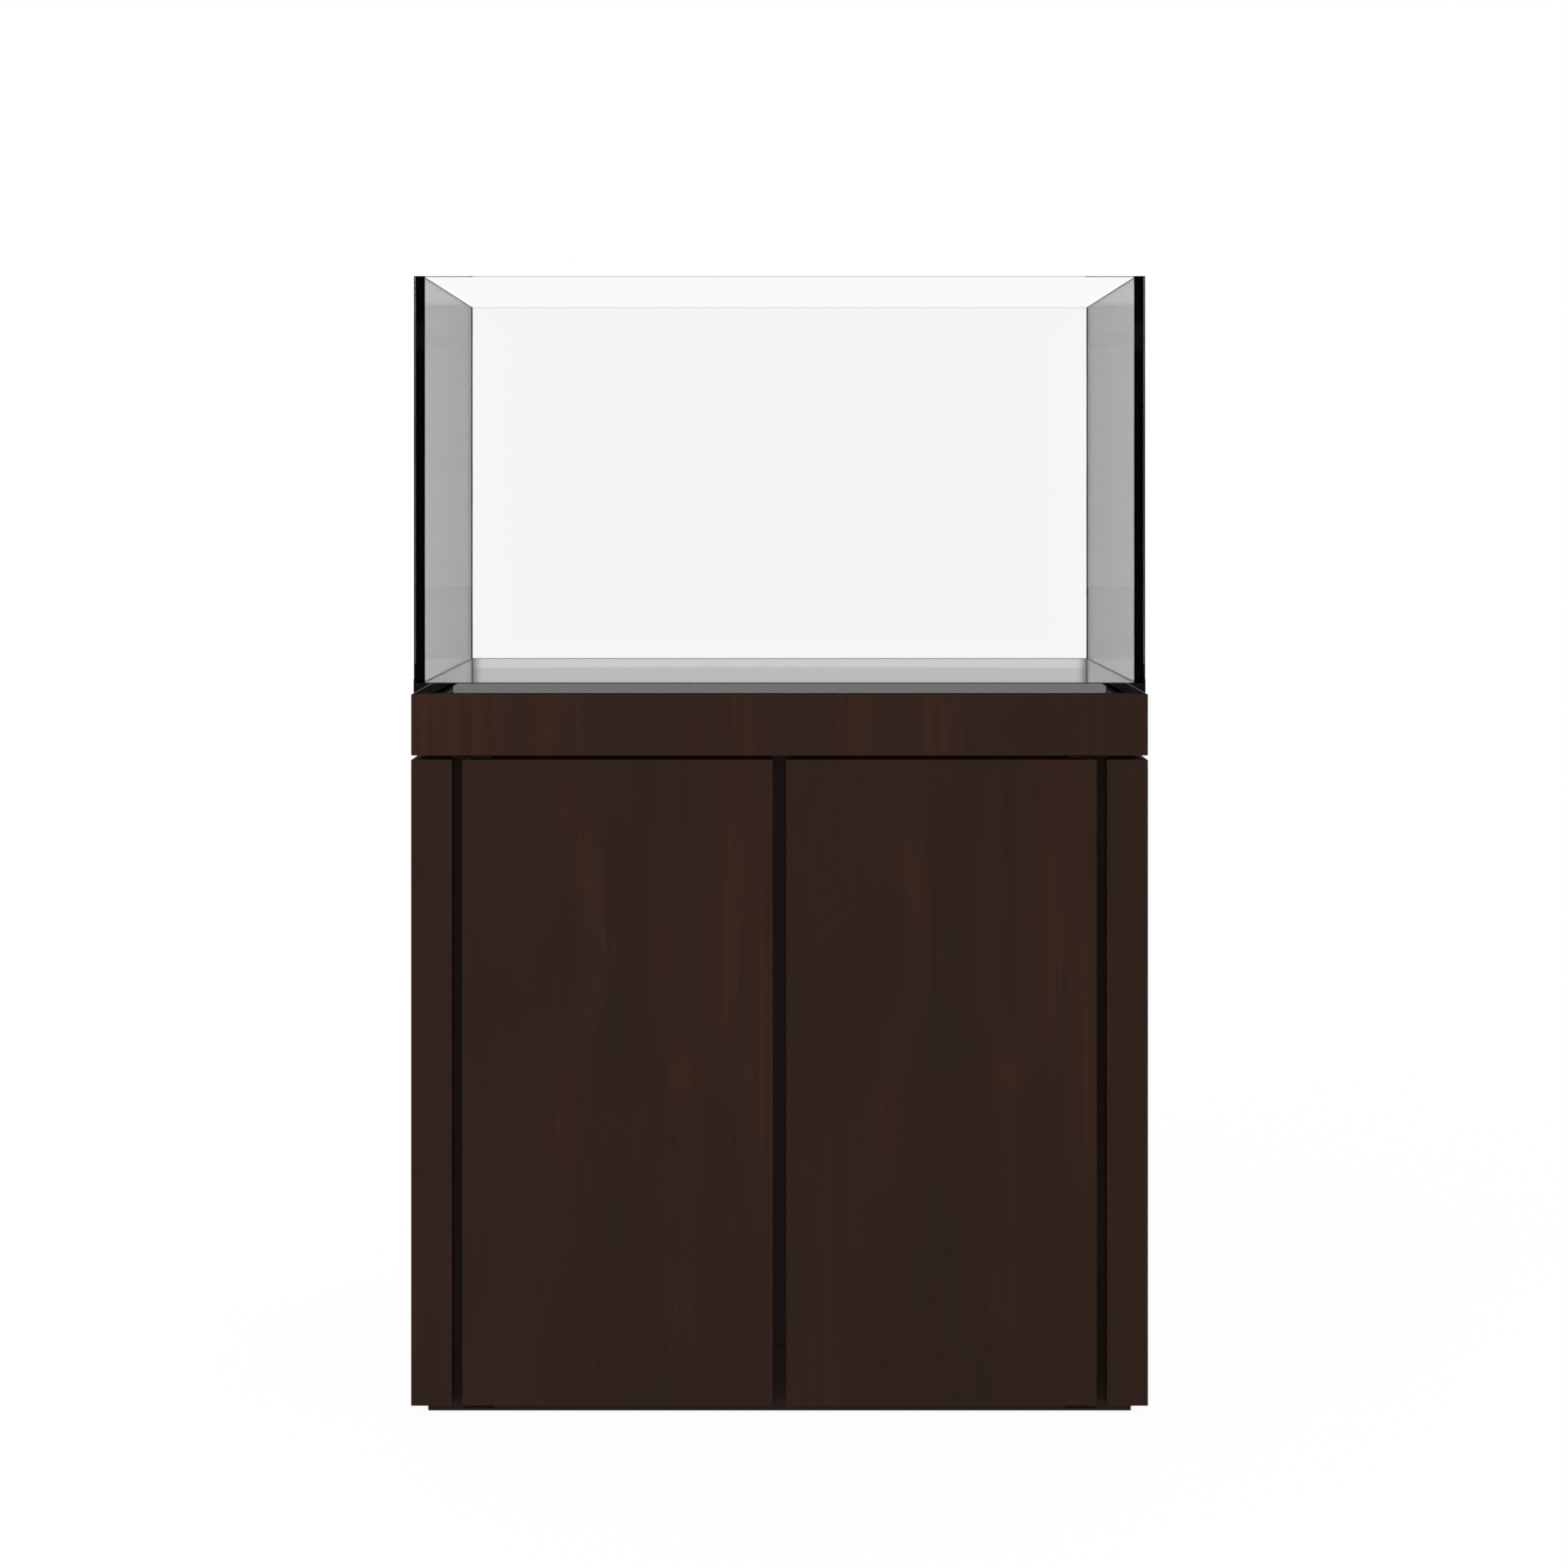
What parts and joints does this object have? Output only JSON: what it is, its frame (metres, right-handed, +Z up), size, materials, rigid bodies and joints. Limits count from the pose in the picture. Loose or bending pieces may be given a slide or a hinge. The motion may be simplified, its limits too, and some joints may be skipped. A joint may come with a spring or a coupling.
{
  "type": "aquarium on stand",
  "caption": "Open-topped rimless glass fish tank on a dark wooden cabinet stand, with a band under the tank, plain finger-gap doors on pivot hinges and recessed shadow joints.",
  "frame": {"origin": "on the floor, under the middle of the stand's footprint", "axes": "+X to the right of someone facing the doors, +Y from the doors to the back, +Z up"},
  "size_m": [0.901, 0.52, 1.3961],
  "materials": {
    "dark_wood": "espresso-stained veneer, satin lacquer",
    "carcass_board": "dark melamine-faced board, matte",
    "clear_glass": "clear float glass, polished edges",
    "black_silicone": "black silicone, smooth",
    "bronze_bracket": "dark bronze paint, satin",
    "pin_steel": "turned steel",
    "nylon": "black nylon",
    "magnet_case": "dark brown plastic",
    "felt": "dark brown felt"
  },
  "bodies": {
    "tank_and_stand": {"top_board": "dark_wood", "front_band": "dark_wood", "back_band": "dark_wood", "left_band": "dark_wood", "right_band": "dark_wood", "left_side_panel": "dark_wood", "right_side_panel": "dark_wood", "left_trim_stile": "dark_wood", "right_trim_stile": "dark_wood", "left_wall": "carcass_board", "right_wall": "carcass_board", "floor_board": "carcass_board", "back_panel": "carcass_board", "back_rail": "carcass_board", "bottom_rail": "carcass_board", "top_rail": "carcass_board", "left_frame_stile": "carcass_board", "right_frame_stile": "carcass_board", "mullion": "carcass_board", "floor_pane": "clear_glass", "front_pane": "clear_glass", "back_pane": "clear_glass", "left_pane": "clear_glass", "right_pane": "clear_glass", "front_left_seam": "black_silicone", "front_right_seam": "black_silicone", "back_left_seam": "black_silicone", "back_right_seam": "black_silicone", "front_floor_bead": "black_silicone", "back_floor_bead": "black_silicone", "left_floor_bead": "black_silicone", "right_floor_bead": "black_silicone", "left_lower_bracket": "bronze_bracket", "left_upper_bracket": "bronze_bracket", "right_lower_bracket": "bronze_bracket", "right_upper_bracket": "bronze_bracket", "left_lower_pin": "pin_steel", "left_upper_pin": "pin_steel", "right_lower_pin": "pin_steel", "right_upper_pin": "pin_steel", "left_magnet": "magnet_case", "right_magnet": "magnet_case"},
    "left_door_leaf": {"left_door": "dark_wood", "left_lower_bush": "nylon", "left_upper_bush": "nylon", "left_strike_plate": "pin_steel", "left_lower_bumper": "felt", "left_upper_bumper": "felt"},
    "right_door_leaf": {"right_door": "dark_wood", "right_lower_bush": "nylon", "right_upper_bush": "nylon", "right_strike_plate": "pin_steel", "right_lower_bumper": "felt", "right_upper_bumper": "felt"}
  },
  "joints": [
    {"name": "left_door_swing", "type": "hinge", "parent": "tank_and_stand", "child": "left_door_leaf", "pos_m": [-0.38, -0.252, 0.408], "axis": [0, 0, -1], "range_deg": [0, 110]},
    {"name": "right_door_swing", "type": "hinge", "parent": "tank_and_stand", "child": "right_door_leaf", "pos_m": [0.38, -0.252, 0.408], "axis": [0, 0, 1], "range_deg": [0, 110]}
  ]
}
